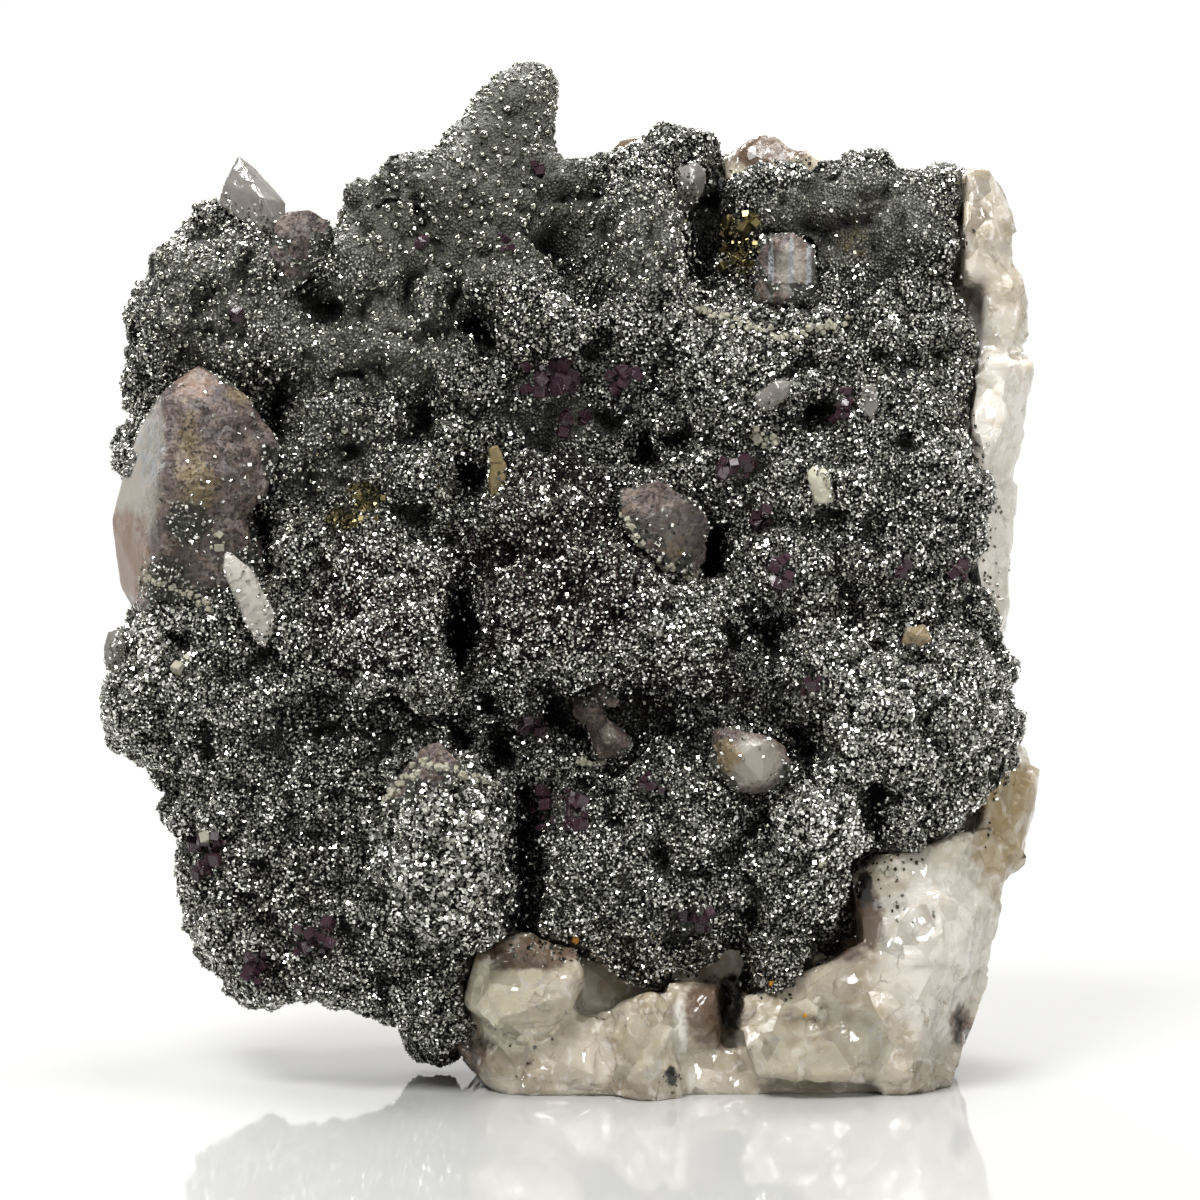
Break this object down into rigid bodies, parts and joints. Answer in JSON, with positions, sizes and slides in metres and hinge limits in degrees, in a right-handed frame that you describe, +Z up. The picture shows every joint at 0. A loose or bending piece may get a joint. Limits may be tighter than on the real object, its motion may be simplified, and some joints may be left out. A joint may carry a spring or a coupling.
{
  "type": "fluorite with quartz and pyrite",
  "caption": "Free-standing mineral specimen: purple fluorite crystals in a dark sparkling pyrite crust on pale quartz, standing on a flat break.",
  "frame": {"origin": "on the surface it stands on, under the middle of the specimen", "axes": "+Z up along its height, +X to the right as seen from the front, +Y towards the hidden back"},
  "size_m": [0.104, 0.0524, 0.1132],
  "materials": {
    "pyrite": "dark tarnished metallic druse with bright grains",
    "quartz": "milky translucent, glassy breaks",
    "fluorite": "purple-brown translucent, dusty faces",
    "tan_mineral": "thin dull tan blade"
  },
  "bodies": {
    "root": {"quartz_matrix": "quartz", "pyrite_crust": "pyrite", "fluorite_crystal_left": "fluorite", "quartz_plate_left": "quartz", "quartz_crystal_left_edge": "quartz", "quartz_point_top_left": "quartz", "fluorite_crystal_top_left": "fluorite", "quartz_crystal_top": "quartz", "fluorite_cube_top_right": "fluorite", "fluorite_blade_centre": "fluorite", "tan_blade_centre": "tan_mineral", "fluorite_cluster_centre": "fluorite", "fluorite_wedge_lower_left": "fluorite", "fluorite_cube_lower_right": "fluorite", "fluorite_cube_right_mound": "fluorite", "quartz_prism_right": "quartz", "quartz_crystal_pink": "quartz", "quartz_grain_right": "quartz"}
  },
  "joints": []
}
